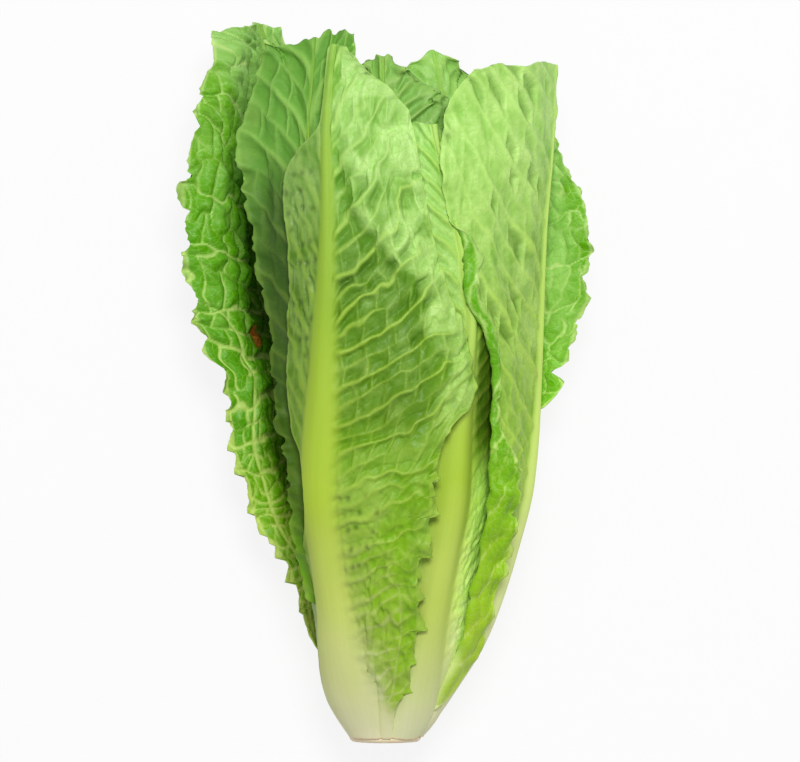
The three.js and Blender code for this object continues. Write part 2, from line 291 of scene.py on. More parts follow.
def leaf_half(leaf, side, sign, y, blade_columns, rib_columns, seed):
    """Points and fields of one half leaf, from the midrib outwards."""
    rib = leaf["rib"](y)
    around = outline(rib, y) * leaf["shell"](y)
    reach = np.maximum(np.abs(side["margin"](y) - rib) * DEGREE * around, 0.5)
    strip = side["fold"](y)
    whole = reach + strip
    teeth, jag = margin_shape(side, y, whole, seed)
    rib_edge = np.minimum(leaf["rib_width"](y), 0.55 * whole)
    ramp = np.linspace(0, 1, rib_columns + 1)[None, :]
    run = 1 - (1 - np.linspace(0, 1, blade_columns + 1)[None, 1:]) ** side["margin_finer"]
    t = np.concatenate([rib_edge * ramp, rib_edge + (whole - rib_edge) * run + jag * run**4], 1)
    share = t / reach
    edge = np.maximum(whole - t, 0)
    s = rounded_top(leaf, side, y, sign * t, share)
    points = laid_out(leaf, side, sign, s, t, share, seed)
    points = curled(side, sign, points, s, edge, strip, seed)
    if side["hold"]:
        hold_margin(side, points, s, y, teeth, share)
    found = veins(s, t, edge, side, seed + 40)
    found.update(
        s=s,
        t=sign * t,
        away=t,
        edge=edge,
        relief=side["relief"](s) + 0 * t,
        rolled=smooth(strip + 2.5, strip + 0.5, edge) * smooth(0.4, 3, strip),
        rib=smooth(1.05, 0.7, t / rib_edge),
        mid=np.minimum(1, t / (1.35 * np.maximum(leaf["rib_width"](s), 0.3))),
    )
    return points, found


PIT_ROW, PIT_STEP, PIT_RADIUS = 7.0, 3.6, 1.15


def pits(s, t, seed):
    """Small round hollows in wavy rows, 1 at their middles."""
    u = (s - 0.15 * t + 1.3 * noise(s / 14, t / 9, seed + 3)) / PIT_ROW
    row = np.floor(u)
    v = t / PIT_STEP + 3 * scatter(row, 0 * row, seed)
    column = np.floor(v)
    along = (u - row - 0.5) * PIT_ROW + 1.6 * (scatter(row, column, seed) - 0.5)
    across = (v - column - 0.5) * PIT_STEP + 0.9 * (scatter(row, column, seed + 1) - 0.5)
    return bell(np.hypot(along, across) / PIT_RADIUS) * smooth(0.25, 0.5, scatter(row, column, seed + 2))


def rib_hump(leaf, f):
    return leaf["rib_height"](f["s"]) * (1 - f["mid"] ** 2) ** 1.5


def hollows(leaf, f):
    """Deeper hollows in some of the cells between the veins."""
    return leaf["dimples"](f["s"], f["t"]) * smooth(0.4, 3.4, f["net"]) * smooth(0.66, 0.86, f["tone"])


def relief(leaf, f):
    """How far the outer skin stands proud: midrib and veins up, the blade between them puckered in."""
    s, t, seed = f["s"], f["away"], leaf["seed"]
    bright = leaf["bright"](s, f["t"])
    much = f["relief"] * (1 - 0.65 * bright)
    petiole = leaf["petiole"](s)
    blade = smooth(0.8, 1.6, t / np.maximum(petiole, 0.3)) * smooth(8, 34, s - leaf["foot"])
    pitted = leaf["pitted"](s, f["t"])
    beyond = smooth(-1, 7, t - petiole)
    valley = leaf["valley"](s) * (1 - bell(f["branch"] / 3.0)) * f["strong"] * much * beyond
    cell = (1 - bell(f["net"] / 1.5)) * (0.45 + 0.9 * f["tone"])
    dome = leaf["dome"](s) * much * cell * (1 - pitted) * beyond
    dome = dome + 0.7 * pitted * pits(s, f["t"], seed + 62)
    stout = np.exp(-np.maximum(t - petiole, 0) / 9)
    ridge = leaf["ridge"](s) * much * bell(f["branch"] / (0.8 + 1.7 * stout))
    ridge = ridge * f["strong"] * (0.4 + 0.9 * stout)
    ridge = ridge + 0.45 * leaf["lines"](s) * leaf["ridge"](s) * much * bell(f["cross"] / 0.8) * f["fade"]
    crumple = leaf["crumple"](s) * much * f["crumple"] * smooth(4, 16, t)
    crumple = crumple + 1.1 * bright * rough(s / 5.5, t / 4.5, seed + 61, 2)
    fine = 0.12 * rough(s / 2.2, f["t"] / 2.2, seed + 60, 2)
    middle = 0.5 * much * (leaf["valley"](s) * 0.5 + leaf["dome"](s) * 0.6)
    return rib_hump(leaf, f) + blade * (ridge - valley - dome - hollows(leaf, f) + fine + crumple + middle)


def scar_mask(leaf, f):
    scar = np.zeros_like(f["s"])
    for at, away, size in leaf["scars"]:
        blur = 0.45 * rough(f["s"] / 2.2, f["t"] / 2.2, leaf["seed"] + 95, 2)
        far = np.hypot((f["s"] - at) / size[0], (f["t"] - away) / size[1])
        scar = np.maximum(scar, smooth(1.15, 0.7, far + blur))
    return scar


def marks(leaf, f):
    """The fields that the materials read."""
    s, t, seed = f["s"], f["away"], leaf["seed"]
    bold, petiole = leaf["bold"](s), leaf["petiole"](s)
    pitted = leaf["pitted"](s, f["t"])
    wide = (0.42 + 1.3 * np.exp(-np.maximum(t - petiole, 0) / 9)) * bold + 0.7 * pitted
    branch = line(f["branch"] / (wide * (0.4 + 0.6 * f["strong"]))) * np.clip(0.25 + 0.75 * f["strong"], 0, 1)
    thin = (0.36 + 0.3 * pitted) * (0.6 + 0.4 * bold)
    net = line(f["cross"] / thin) * (0.15 + 0.85 * np.clip(f["fade"] * bold, 0, 1))
    green = np.maximum(f["rolled"], leaf["bright"](s, f["t"]))
    pale = smooth(1.5 + 0.5 * smooth(0, 1, f["t"]), 0.8, t / np.maximum(petiole, 0.3)) * (1 - green)
    frill = smooth(11, 3, f["edge"]) * smooth(100, 70, s) * smooth(8, 20, s) * (1 - f["rolled"])
    hollow_shade = hollows(leaf, f)
    growth = (s + 0.22 * t + 6 * rough(s / 24, f["t"] / 17, seed + 70, 2)) / 280 + 0.08 * frill * (1 - pale)
    frost = leaf["frost"](s, f["t"] + 4 * noise(s / 16, f["t"] / 16, seed + 90))
    # painted shade: less wax and a darker colour in the deeper hollows
    frost = (frost + 0.25 * (f["tone"] - 0.5) - 0.16 * hollow_shade) * (1 - f["rolled"])
    shade = leaf["shade"](s, f["t"]) * (1 - 0.2 * hollow_shade)
    return {
        "vein": np.clip(np.maximum(branch, leaf["lines"](s) * net), 0, 1) * (1 - pale),
        "rib": np.maximum(f["rib"] * (1 - green), pale),
        # painted shade: darker in the pits
        "shade": shade * (1 - 0.5 * pitted * pits(s, f["t"], seed + 62)),
        "growth": np.clip(growth, 0, 1),
        "frost": np.clip(frost + 0.15 * rough(s / 12, f["t"] / 9, seed + 80, 2), 0, 1),
        "pucker": smooth(0.3, 2.4, f["net"]),
        "edge": smooth(1.2, 0.4, f["edge"]) * smooth(20, 60, s),
        "scar": scar_mask(leaf, f),
        "cut": smooth(1.0, 0.2, s - leaf["foot"]),
    }


def numbered(grid, start):
    """The numbers of a grid's points, counted from start."""
    return start + np.arange(grid.size).reshape(grid.shape)


def grid_faces(at):
    return np.stack([at[:-1, :-1], at[:-1, 1:], at[1:, 1:], at[1:, :-1]], -1).reshape(-1, 4)


def rim_of(at):
    return np.concatenate([at[0, :-1], at[:-1, -1], at[-1, :0:-1], at[:0:-1, 0]])


def placed(name, data):
    """A new object in the scene that shows this data."""
    thing = bpy.data.objects.new(name, data)
    bpy.context.scene.collection.objects.link(thing)
    return thing


def build_mesh(name, points, quads, triangles, fields):
    mesh = bpy.data.meshes.new(name)
    loops = np.concatenate([quads.ravel(), triangles.ravel()]).astype(np.int32)
    sizes = np.concatenate([np.full(len(quads), 4), np.full(len(triangles), 3)])
    mesh.vertices.add(len(points))
    mesh.vertices.foreach_set("co", ((points + SHIFT) * MM).astype(np.float32).ravel())
    mesh.loops.add(len(loops))
    mesh.loops.foreach_set("vertex_index", loops)
    mesh.polygons.add(len(sizes))
    mesh.polygons.foreach_set("loop_start", np.r_[0, np.cumsum(sizes)[:-1]].astype(np.int32))
    mesh.update(calc_edges=True)
    mesh.shade_smooth()
    for key, values in fields.items():
        if values.ndim == 2:
            layer = mesh.attributes.new(key, "FLOAT_VECTOR", "POINT")
            layer.data.foreach_set("vector", values.astype(np.float32).ravel())
        else:
            layer = mesh.attributes.new(key, "FLOAT", "POINT")
            layer.data.foreach_set("value", values.astype(np.float32))
    return placed(name, mesh)


def normals_of(points):
    across = np.gradient(points, axis=1)
    along = np.gradient(points, axis=0)
    normal = np.cross(across, along)
    return normal / np.maximum(np.linalg.norm(normal, axis=-1, keepdims=True), 1e-9)


def rows_along(leaf):
    """Places along the leaf for an even number of steps, finer where the leaf says so."""
    rows = leaf["rows"] + leaf["rows"] % 2
    stations = np.linspace(leaf["foot"], leaf["tip"], 400)
    start, end, extra = leaf["finer"]
    weight = 1 + extra * smooth(start - 15, start, stations) * smooth(end + 15, end, stations)
    travelled = np.r_[0, np.cumsum(weight[1:])] / weight[1:].sum()
    return np.interp(np.linspace(0, 1, rows + 1), travelled, stations)[:, None]


def settle(skin, least):
    """Ease a skin's lowest points up, so that none goes below that height over the floor."""
    low = skin[..., 2] - least
    skin[..., 2] = least + np.where(low > 1.5, low, 1.5 * np.exp(np.minimum(low, 1.5) / 1.5 - 1))


def rim_faces(outer_rim, inner_rim):
    """Triangles that close the gap between two rims, one of which has twice the other's points."""
    outer_is_fine = len(outer_rim) > len(inner_rim)
    fine, coarse = (outer_rim, inner_rim) if outer_is_fine else (inner_rim, outer_rim)
    a, b, c = fine[::2], fine[1::2], np.roll(fine[::2], -1)
    d, e = coarse, np.roll(coarse, -1)
    triangles = np.concatenate([np.stack([b, a, d], -1), np.stack([e, b, d], -1), np.stack([c, b, e], -1)])
    return triangles if outer_is_fine else triangles[:, ::-1]


def leaf_piece(name, leaf):
    """A closed leaf: the skin that shows is fine, and the other one has every second point."""
    y = rows_along(leaf)
    left_columns, right_columns, rib_columns = leaf["columns"]
    left, left_fields = leaf_half(leaf, leaf["left"], -1, y, left_columns, rib_columns, leaf["seed"] + 100)
    right, right_fields = leaf_half(leaf, leaf["right"], 1, y, right_columns, rib_columns, leaf["seed"] + 200)
    points = np.concatenate([left[:, :0:-1], right], 1)
    f = {k: np.concatenate([left_fields[k][:, :0:-1], right_fields[k]], 1) for k in right_fields}
    normal = normals_of(points)
    proud = relief(leaf, f)
    thick = leaf["thickness"](f["s"]) * (0.35 + 0.65 * smooth(0, 9, f["edge"]))
    outer = points + normal * proud[..., None]
    inner = points + normal * (0.9 * (proud - rib_hump(leaf, f)) - thick)[..., None]
    settle(outer, 0.1)
    settle(inner, 0.55)
    step_out, step_in = (1, 2) if leaf["show"] == "outer" else (2, 1)

    def both_skins(on_outer, on_inner):
        kept = on_outer[::step_out, ::step_out], on_inner[::step_in, ::step_in]
        return np.concatenate([values.reshape(-1, *values.shape[2:]) for values in kept])

    fields = {key: both_skins(values, values) for key, values in marks(leaf, f).items()}
    spot = np.stack([f["s"], f["t"], 0 * f["s"]], -1)
    fields["leaf"] = both_skins(spot, spot)
    fields["face"] = both_skins(np.zeros_like(f["s"]), np.ones_like(f["s"]))
    outer_at = numbered(outer[::step_out, ::step_out, 0], 0)
    inner_at = numbered(inner[::step_in, ::step_in, 0], outer_at.size)
    if leaf["show"] == "inner":
        fields["shade"][: outer_at.size] = 1  # painted shade is for the face that shows
    quads = np.concatenate([grid_faces(outer_at), grid_faces(inner_at)[:, ::-1]])
    triangles = rim_faces(rim_of(outer_at), rim_of(inner_at))
    return build_mesh(name, both_skins(outer, inner), quads, triangles, fields)


def half_spec(margin, **more):
    """What makes up one half of a leaf. Lengths are in mm and turns in degrees."""
    plain = dict(
        # how it lies: the margin's angle, sunk in or flared out towards it, or held at an outline
        margin=margin,
        sink=level(0), steep=1, flare=level(0), hold=None, swell=lambda s, t: 0 * t,
        # the strip folded over its back, and the margin's ruffles and outward bow
        fold=level(0), turn=165, hem=3.4,
        ruffle=level(14), pitch=11, depth=11, bow=level(0), bow_reach=28,
        # the margin's teeth, lobes and barbs, how far its upper end is rounded, and its finer columns
        teeth=level(1.0), lobe=9.0, extra=level(0), round=2.0, margin_finer=1.0,
        # its side veins: how steeply they climb, arch and wander, and a strand along the margin
        climb=profile((40, 18), (120, 28), (200, 44), (260, 55)), arch=0.0, sweep=5.0, wander=1.0,
        spacing=profile((50, 4.8), (75, 5.4), (110, 6.5), (160, 7.5), (220, 8.5)), strand=level(-40),
        # the cells between the veins, and how much of the relief there is
        cell=profile((40, 4.4), (90, 5.6), (150, 7), (250, 8)), stray=1.2, relief=level(1),
    )
    return {**plain, **more}


def leaf_spec(seed, foot, tip, rib, left, right, **more):
    """What makes up a leaf: its foot and tip, the angle of its midrib, its two halves and its surface."""
    plain = dict(
        seed=seed, foot=foot, tip=tip, rib=rib, left=left, right=right,
        # how far out it lies, its thickness, its midrib and the pale flesh beside it, and its uneven lie
        shell=level(1), inset=profile((0, 2.4), (20, 2.2), (60, 3.5), (290, 3.5)),
        thickness=profile((0, 3.2), (20, 2.4), (45, 1.4), (80, 0.9), (200, 0.7)),
        rib_width=RIB_WIDTH, rib_height=RIB_HEIGHT,
        petiole=profile(
            (0, 34), (20, 24), (36, 16), (50, 11.5), (70, 8.6), (105, 7), (130, 5.5), (170, 3.6),
            (209, 2.2), (270, 1.2)
        ),
        drift=1.2, crown=dict(notch=2.0, pitch=9.0),
        # its relief: valleys along the veins, domes between them, and ridges and crumples on top
        valley=profile((30, 0.5), (80, 1.0), (220, 0.9)),
        dome=profile((20, 0.5), (40, 1.0), (90, 1.0), (150, 0.9), (240, 0.8)),
        ridge=profile((20, 0.3), (60, 0.8), (150, 1.3), (220, 1.0)),
        crumple=profile((40, 0.2), (120, 0.5), (240, 0.7)),
        pitted=nowhere, dimples=nowhere, bright=nowhere,
        # its marks: how strong and bold the veins are, painted shade and light, wax and scars
        lines=level(0.6), bold=level(1), scars=(),
        shade=lambda s, t: 1 + 0 * s, frost=lambda s, t: 0.5 + 0 * s,
        # its mesh: rows, columns of each half and of the midrib, finer rows, and the skin that shows
        rows=300, columns=(60, 60, 6), finer=(0, 300, 0.0), show="outer",
    )
    return {**plain, **more}


OUTER_FOOT = 2.35
SHOULDER = profile(
    (12, 21), (20, 20), (30, 17.5), (45, 18), (55, 20), (68, 23), (80, 27), (90, 32), (100, 33), (113, 41),
    (132, 46), (159, 41), (174, 36), (185, 27), (193, 20), (204, 12), (218, 10), (230, 6), (250, 2),
    (260, 0)
)


def front_left_swell(s, t):
    """A valley beside the midrib, and a raised shoulder beyond it."""
    shoulder = SHOULDER(s) + 1.6 * noise(s / 11, t / 40, 1301) + 0.9 * noise(s / 3.5, t / 20, 1302)
    step = profile((105, 0), (135, 1.0), (165, 1.6), (200, 2.1), (225, 1.9), (255, 0.5))(s)
    dip = profile((120, 0.3), (170, 1.0), (200, 1.4), (240, 0.6))(s)
    raised = step * (smooth(-4.5, 3.5, t - shoulder) - 0.9 * smooth(8, 26, t - shoulder))
    seam = profile((0, 12.5), (5, 13.5), (16, 16.5), (28, 18.4), (36, 18))(s)
    lip = 1.1 * bell((t - shoulder - 1.2) / 1.3) * smooth(20, 30, s) * smooth(86, 76, s)
    lip = lip - 1.1 * bell((t - seam) / 0.9) * smooth(38, 26, s)
    crinkle = 0.9 * rough(s / 26, t / 20, 1303, 2)
    crinkle = crinkle + 0.8 * rough(s / 9, t / 12, 1304, 2) * smooth(-2, 6, t - shoulder)
    return raised + lip - dip * bell((t - shoulder + 5) / 5) + crinkle * smooth(110, 140, s)


def folds(seed, height, long, wide, lean=0.0):
    """Soft folds of that height, running along the leaf."""
    return lambda s, t: height * rough((s + lean * t) / long, t / wide, seed, 2)


def shaded_gap(s, t):
    """Where the front right leaf lies deep between its neighbours, right of its midrib: there it gets painted
    shade.
    """
    return smooth(3, 7, t) * smooth(100, 122, s) * smooth(200, 185, s)


OUTER_LEAVES = {
    "outer_leaf_front_left": leaf_spec(
        1000,
        OUTER_FOOT,
        267,
        profile(
            (0, -52), (55, -52), (76, -47), (101, -40), (132, -32), (170, -27), (200, -25.5), (240, -26),
            (268, -24)
        ),
        half_spec(
            profile(
                (0, -96), (36, -93), (60, -78), (76, -64), (90, -49), (100, -45), (112, -46), (122, -49),
                (150, -47), (190, -43), (212, -45), (226, -39), (234, -31), (240, -28.5), (268, -26.5)
            ),
            climb=level(62), spacing=level(10), cell=level(8), teeth=level(0.3), ruffle=level(4),
            relief=level(0.12), swell=folds(1401, 0.7, 40, 16, -1.5),
        ),
        half_spec(
            profile(
                (0, 7), (10, 9), (16, 11), (20, 15), (32, 14), (45, 13), (52, 11), (58, 10), (65, 8.5),
                (72, 9.5), (80, 13.5), (88, 15), (105, 17), (118, 23), (124, 27), (130, 35), (142, 36.5),
                (150, 35), (160, 32), (172, 26), (190, 21), (203, 17.5), (215, 15), (230, 12.5), (241, 9.5),
                (247, 4), (253, -3), (260, -12), (268, -20)
            ),
            flare=profile((0, 0), (12, 1.4), (30, 2.2), (60, 1.8), (90, 1.0), (110, 0.6), (140, 0)),
            climb=profile(
                (40, 4), (80, 8), (115, 17), (140, 21), (160, 28), (177, 40), (200, 48), (240, 54)
            ),
            spacing=profile((50, 4.8), (75, 5.4), (105, 6.4), (140, 6.6), (165, 7.5), (185, 10), (240, 10)),
            arch=0.35,
            teeth=profile((10, 0.5), (30, 0.9), (60, 1.0), (105, 1.4), (130, 1.2), (150, 0.5), (250, 0.4)),
            cell=profile((40, 4), (90, 5), (110, 8), (150, 11), (200, 10), (240, 8)), wander=1.5,
            ruffle=profile((12, 10), (35, 15), (80, 16), (110, 28), (130, 22), (160, 6), (250, 10)),
            extra=barbs(
                (20.5, 4.4, 9), (32, 2.6, 8), (44.8, 4.8, 10), (57, 2.6, 7), (65.6, 2.2, 6),
                (73.6, 4.6, 12), (88.6, 4.6, 11), (97, 2, 6), (102.7, 3.6, 9)
            ),
            strand=profile((14, 5), (60, 8), (72, 9), (82, -40)), depth=9, pitch=6, swell=front_left_swell,
        ),
        rib_width=profile(
            (0, 25), (20, 21), (36, 13), (50, 9.5), (70, 8), (105, 7.2), (130, 6), (170, 4), (209, 2.4),
            (270, 1.2)
        ),
        rib_height=profile((0, 1.2), (20, 2.4), (50, 3.2), (110, 3.5), (150, 2.8), (200, 1.7), (270, 0.8)),
        petiole=profile(
            (0, 30), (8, 20), (20, 12.5), (36, 9.8), (50, 9), (70, 8.2), (105, 7), (130, 5.5), (170, 3.6),
            (209, 2.2), (270, 1.2)
        ),
        pitted=lambda s, t: smooth(108, 92, s)
        * smooth(28, 40, s)
        * smooth(-1, -4, t - SHOULDER(s))
        * smooth(8.5, 11.5, t)
        + 0.8 * smooth(-3, -5.5, t) * smooth(125, 155, s) * smooth(238, 218, s),
        dimples=lambda s, t: 0.9 * smooth(-1, -6, t) * smooth(120, 170, s)
        + 1.4 * smooth(0, 6, t) * smooth(130, 170, s),
        bright=lambda s, t: smooth(-1.5, 1.5, t - SHOULDER(s)) * smooth(13, 24, s) * smooth(110, 95, s),
        # painted shade: the left half darker, on the side away from the light; also darker right of the
        # midrib low down, and between the midrib and the shoulder higher up
        shade=lambda s, t: 1
        - 0.34 * smooth(1, -4, t)
        - 0.1 * smooth(4, 9, t) * smooth(150, 125, s)
        - 0.15 * smooth(3, 8, t) * smooth(3, -4, t - SHOULDER(s)) * smooth(105, 130, s),
        crumple=profile((60, 0.1), (110, 0.5), (170, 1.0), (250, 1.2)),
        lines=profile((100, 0.25), (125, 0.5)),
        frost=lambda s, t: 0.1
        + 0.14 * smooth(0, -4, t)
        + (0.8 - 0.5 * smooth(0.15, 0.6, noise(s / 11, t / 8, 1310)))
        * smooth(-2, 7, t - SHOULDER(s))
        * smooth(106, 122, s)
        + 0.45 * smooth(2, -3, t - SHOULDER(s)) * smooth(0, 3, t) * smooth(118, 96, s),
        finer=(25, 240, 0.3), rows=450, columns=(40, 104, 8),
    ),
    "outer_leaf_front_right": leaf_spec(
        2000,
        OUTER_FOOT,
        238,
        profile(
            (0, 42), (16, 34), (40, 26), (55, 24), (70, 26), (93, 31), (118, 33), (140, 35.5), (150, 36.5),
            (163, 37.2), (171, 35), (190, 32.5), (200, 30), (216, 26), (231, 22), (245, 20)
        ),
        half_spec(
            profile((0, 1), (20, 10), (45, 9), (80, 6), (110, 0), (180, -8), (225, -2), (238, 10)),
            sink=profile((60, 0), (120, 3), (160, 6), (238, 6)), steep=0.8,
            climb=profile((80, 20), (180, 30), (220, 40)), spacing=level(5.5),
            relief=profile((110, 0.5), (150, 1.0), (240, 1.0)),
        ),
        half_spec(
            profile((0, 64), (30, 70), (60, 70), (100, 72), (180, 70), (222, 42), (238, 23)),
            sink=profile((0, 0), (40, 1), (80, 4), (250, 5)), steep=1.3,
            climb=profile((30, 30), (120, 40), (220, 55)), spacing=level(7), cell=level(9),
            relief=profile((75, 0.75), (100, 0.3), (200, 0.3)),
        ),
        inset=profile((0, 2.4), (20, 3.6), (45, 6.2), (80, 9), (130, 9), (160, 6.4), (200, 6), (250, 6.4)),
        rib_width=profile(
            (0, 10), (16, 9), (40, 7.6), (60, 7.4), (100, 7.8), (130, 5.6), (163, 2.6), (190, 1.8),
            (231, 1), (270, 0.8)
        ),
        petiole=profile(
            (0, 24), (16, 14), (36, 9.5), (60, 8), (100, 7.8), (130, 5.6), (163, 2.4), (190, 1.6),
            (231, 0.8), (270, 0.6)
        ),
        dome=profile((20, 0), (40, -0.7), (90, -0.9), (120, 0.5), (240, 0.6)),
        # painted light: lighter right of the midrib low down, where the right leaf's roll shades it, partly
        # its own pale tone; painted shade: darker and less waxy deep in the gap
        shade=lambda s, t: 1
        + 0.6 * smooth(0, 4, t) * smooth(115, 95, s)
        - 0.62 * shaded_gap(s, t),
        frost=lambda s, t: 0.5 + 0.2 * smooth(0, -5, t) + 0.4 * smooth(0, 5, t) * smooth(125, 100, s)
        - 0.5 * shaded_gap(s, t),
        rows=340, columns=(50, 60, 8),
    ),
    "outer_leaf_right": leaf_spec(
        3000,
        OUTER_FOOT,
        261,
        profile((0, 90), (40, 86), (130, 86), (160, 81), (200, 80), (262, 81)),
        half_spec(
            profile(
                (0, 64), (30, 61), (45, 53.5), (60, 49.5), (85, 46), (110, 44.2), (122, 46), (146, 45.6),
                (154, 42), (162, 37), (168, 32), (175, 29.8), (190, 30.5), (215, 23), (240, 25), (252, 32),
                (262, 44)
            ),
            sink=profile((0, 0), (40, 0), (60, 1.5), (250, 1.5)),
            fold=profile(
                (8, 0), (20, 4), (36, 9), (62, 10), (72, 12), (105, 11), (118, 4.5), (128, 2.6), (150, 2.8),
                (163, 4.2), (192, 3.4), (202, 0)
            ),
            climb=level(17), arch=1.2, spacing=level(10), cell=level(15), wander=0.7,
            teeth=profile((20, 0.6), (60, 1.8), (110, 1.8), (190, 1.4), (215, 0.8), (262, 0.6)),
            ruffle=profile((20, 16), (60, 26), (120, 20), (190, 14), (262, 6)), pitch=6, depth=14,
            relief=profile((60, 0.7), (130, 0.6), (190, 0.4)),
            swell=lambda s, t: folds(3401, 0.9, 34, 14, -1.8)(s, t)
            + 1.0 * rough(s / 6.5, t / 5, 3402, 2) * smooth(26, 34, t) * smooth(150, 120, s),
            extra=lambda y: profile((60, 0), (190, 0), (225, 1), (262, 2))(y) + 2.2 * bell((y - 186) / 4),
            round=3.0,
        ),
        half_spec(
            profile(
                (0, 117), (45, 119), (65, 117), (85, 126), (110, 140), (180, 142), (225, 120), (262, 100)
            ),
            sink=profile((0, 0), (50, 1.5), (68, 5), (105, 10.5), (250, 11)), steep=1.3, climb=level(60),
            spacing=level(10), round=6.0,
        ),
        inset=profile(
            (0, 2.4), (8, 3.6), (15, 5), (25, 4.6), (40, 3.4), (60, 3.5), (130, 3.2), (150, 2.7),
            (177, 1.6), (216, -0.4), (262, -2)
        ),
        crown=dict(notch=1.2, pitch=12.0), ridge=profile((20, 0.3), (60, 0.8), (150, 1.2), (220, 1.0)),
        crumple=profile((40, 0.4), (120, 0.6), (240, 0.8)),
        rib_width=profile(
            (0, 13), (20, 10), (40, 7.5), (80, 6), (100, 4.2), (130, 2), (170, 1.3), (262, 0.7)
        ),
        petiole=profile(
            (0, 30), (20, 20), (40, 11), (80, 6.5), (100, 4.2), (130, 1.8), (170, 1.1), (262, 0.5)
        ),
        dimples=lambda s, t: 1.5 * smooth(120, 150, s) * smooth(-4, -9, t),
        bold=profile((40, 0.3), (95, 0.7), (120, 1.7)), lines=profile((90, 0.1), (125, 0.6)),
        frost=lambda s, t: 0.62 + 0 * s,
        rows=400, columns=(100, 30, 6),
    ),
    "outer_leaf_back_right": leaf_spec(
        4000,
        OUTER_FOOT,
        252,
        profile((0, 150), (60, 150), (252, 148)),
        half_spec(
            profile(
                (0, 121), (45, 123), (65, 121), (100, 111), (115, 103), (130, 94), (155, 88), (214, 85),
                (236, 90), (252, 120)
            ),
            sink=profile((0, 0), (60, 2), (110, 8), (250, 10)),
            flare=profile(
                (0, 0), (70, 1), (100, 3), (130, 8), (155, 14), (187, 19), (205, 19), (225, 15), (252, 6)
            ),
            hold=profile(
                (100, 48), (129, 59.4), (136, 68), (143, 68.5), (156, 72.5), (165, 75), (172, 79),
                (180, 76.5), (190.5, 80), (198, 77.5), (205, 78.3), (214, 74.5), (222, 69.8), (235, 65),
                (252, 56)
            ),
            bow=profile((70, 0), (100, 40), (130, 62), (200, 52), (252, 30)), bow_reach=24,
            teeth=profile((60, 0.8), (120, 1.2), (252, 1.2)), lobe=7.0, stray=2.4, wander=1.7,
            margin_finer=1.6, ruffle=profile((80, 8), (140, 12), (252, 12)),
            extra=lambda y: -5 * bell((y - 143.5) / 1.6),
            climb=profile((60, 15), (150, 22), (230, 34)), spacing=profile((60, 5), (220, 6.5)),
            cell=level(7),
        ),
        half_spec(profile((0, 176), (80, 175), (110, 190), (190, 196), (230, 180), (252, 156))),
        bold=level(0.85), lines=level(1.1), finer=(125, 245, 1.5),
        frost=lambda s, t: 0.12
        + (0.95 - 0.4 * smooth(0.1, 0.6, noise(s / 12, t / 9, 4100)))
        * smooth(140, 176, s)
        * smooth(-68, -54, t),
        # painted light: the lower part, below about 150 mm, made lighter
        shade=lambda s, t: 1 + 0.25 * smooth(160, 140, s),
        dome=profile((40, 0.5), (240, 0.5)), show="inner", rows=300, columns=(90, 26, 6),
    ),
    "outer_leaf_back_left": leaf_spec(
        5000,
        OUTER_FOOT,
        279,
        profile((0, -146), (60, -148), (240, -144), (279, -122)),
        half_spec(
            profile(
                (0, -181), (60, -180), (100, -188), (190, -194), (240, -180), (256, -162), (267, -137),
                (279, -130)
            ),
            sink=profile((0, 0), (60, 0.3), (84, 4), (250, 4)), round=0.0,
        ),
        half_spec(
            profile(
                (0, -105), (45, -106), (60, -101), (90, -96), (132, -90), (174, -84), (224, -82),
                (263, -88), (279, -96)
            ),
            sink=profile((0, 0), (60, 2), (110, 8), (280, 10)),
            flare=profile(
                (0, 0), (45, 0), (59, 3), (70, 5), (90, 8), (132, 10), (174, 14), (203, 16), (243, 14),
                (263, 12), (279, 9)
            ),
            hold=profile(
                (45, -27.5), (61, -34), (71, -38.5), (80, -46), (89, -50.5), (103, -53.5), (112, -58),
                (132, -60.5), (144, -62.5), (149, -69), (160, -71), (174, -75), (203, -78), (224, -76),
                (243, -73), (258, -69), (264, -65.5), (270, -67), (274, -68), (279, -68)
            ),
            bow=profile((32, 0), (52, 50), (130, 65), (200, 52), (279, 30)), bow_reach=22,
            extra=barbs(
                (50, 2, 6), (61.5, 4.8, 7), (71, 4.6, 5), (76.7, 1.8, 3), (80.4, 2.4, 6), (88.5, 3.4, 9),
                (103.5, 5.2, 8), (112.7, 2.8, 9), (124, 2.2, 8), (135, 2.4, 9)
            ),
            strand=profile((50, 3), (70, 7), (115, 8), (165, 10), (185, -40)),
            teeth=profile((40, 0.6), (120, 0.9), (150, 3.0), (240, 3.2), (258, 1.4), (279, 1.0)), lobe=14.5,
            margin_finer=1.6, ruffle=profile((50, 12), (140, 14), (279, 16)),
            climb=profile((40, -14), (115, -10), (145, 4), (180, 18), (240, 40)), wander=1.4, stray=2.4,
            spacing=profile((50, 4.5), (120, 5.5), (160, 7), (220, 8)),
            cell=profile((40, 6), (150, 7), (250, 8)), round=5.0,
        ),
        bold=profile((30, 2.2), (140, 2.0), (185, 1.0)), lines=profile((100, 0.5), (160, 1.0)),
        finer=(50, 279, 1.0), dome=profile((40, 0.6), (120, 0.8), (180, 1.9), (250, 1.5)),
        frost=lambda s, t: 0.06
        + 0.5 * smooth(175, 215, s) * smooth(48, 38, t)
        + 0.4 * smooth(228, 262, s) * smooth(54, 42, t),
        # painted shade: darker where it lies beside the next leaf's edge, in the gap between them
        shade=lambda s, t: 1 - 0.55 * smooth(42, 34, t) * smooth(140, 165, s) * smooth(238, 215, s),
        scars=((157, 34, (5, 3.5)),), crown=dict(notch=1.3, pitch=8.0),
        crumple=profile((100, 0.4), (180, 1.0), (270, 1.0)), show="inner", rows=440, columns=(24, 96, 6),
    ),
}

